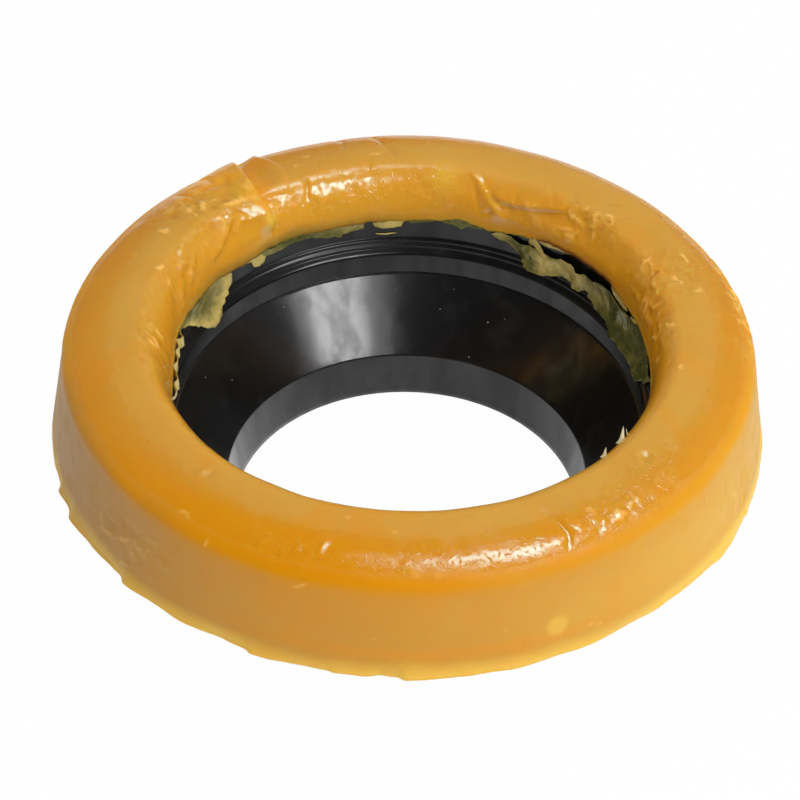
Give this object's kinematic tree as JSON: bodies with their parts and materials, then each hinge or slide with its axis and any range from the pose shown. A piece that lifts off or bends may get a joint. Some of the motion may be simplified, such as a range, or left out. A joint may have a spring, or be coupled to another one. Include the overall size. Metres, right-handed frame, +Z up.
{
  "type": "toilet pan seal",
  "caption": "Moulded wax ring with a black plastic horn cast into its bore, seals a toilet pan to its waste outlet.",
  "frame": {"origin": "centre of the horn's outlet rim, on the plane that the seal stands on", "axes": "+Z up along the ring's axis, from the outlet towards the pan; +Y away from the picture's camera"},
  "size_m": [0.1395, 0.1403, 0.0486],
  "materials": {
    "wax": "translucent amber petroleum wax, soft sheen, hand marked",
    "horn_plastic": "smooth moulded black polyethylene"
  },
  "bodies": {
    "root": {"wax_ring": "wax", "horn": "horn_plastic"}
  },
  "joints": []
}
